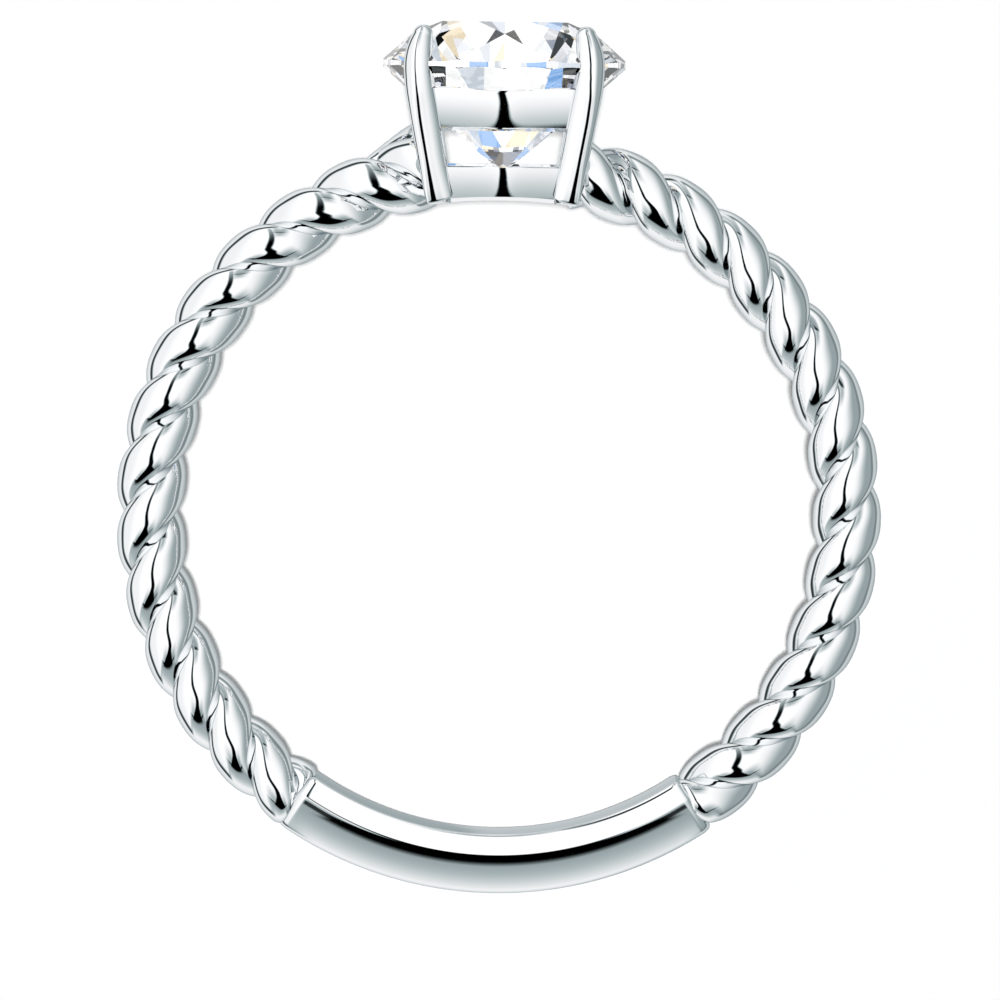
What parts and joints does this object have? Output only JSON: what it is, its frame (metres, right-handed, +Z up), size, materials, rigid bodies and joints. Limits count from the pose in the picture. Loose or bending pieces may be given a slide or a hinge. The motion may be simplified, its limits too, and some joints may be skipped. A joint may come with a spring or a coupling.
{
  "type": "silver ring",
  "caption": "Silver solitaire finger ring: twisted rope band with a smooth back plate, an open prong setting with rails, and a round brilliant-cut clear stone.",
  "frame": {"origin": "on the surface the ring lies on, below the middle of its footprint", "axes": "+Y from the back plate towards the stone, +Z up, close to the finger's axis; the stone's end is lifted six degrees because the ring rests on the stone's girdle and the plate's edge"},
  "size_m": [0.0206, 0.0236, 0.0065],
  "materials": {
    "silver": "mirror polished",
    "stone": "polished facets"
  },
  "bodies": {
    "root": {"silver_band_and_setting": "silver", "stone": "stone"}
  },
  "joints": []
}
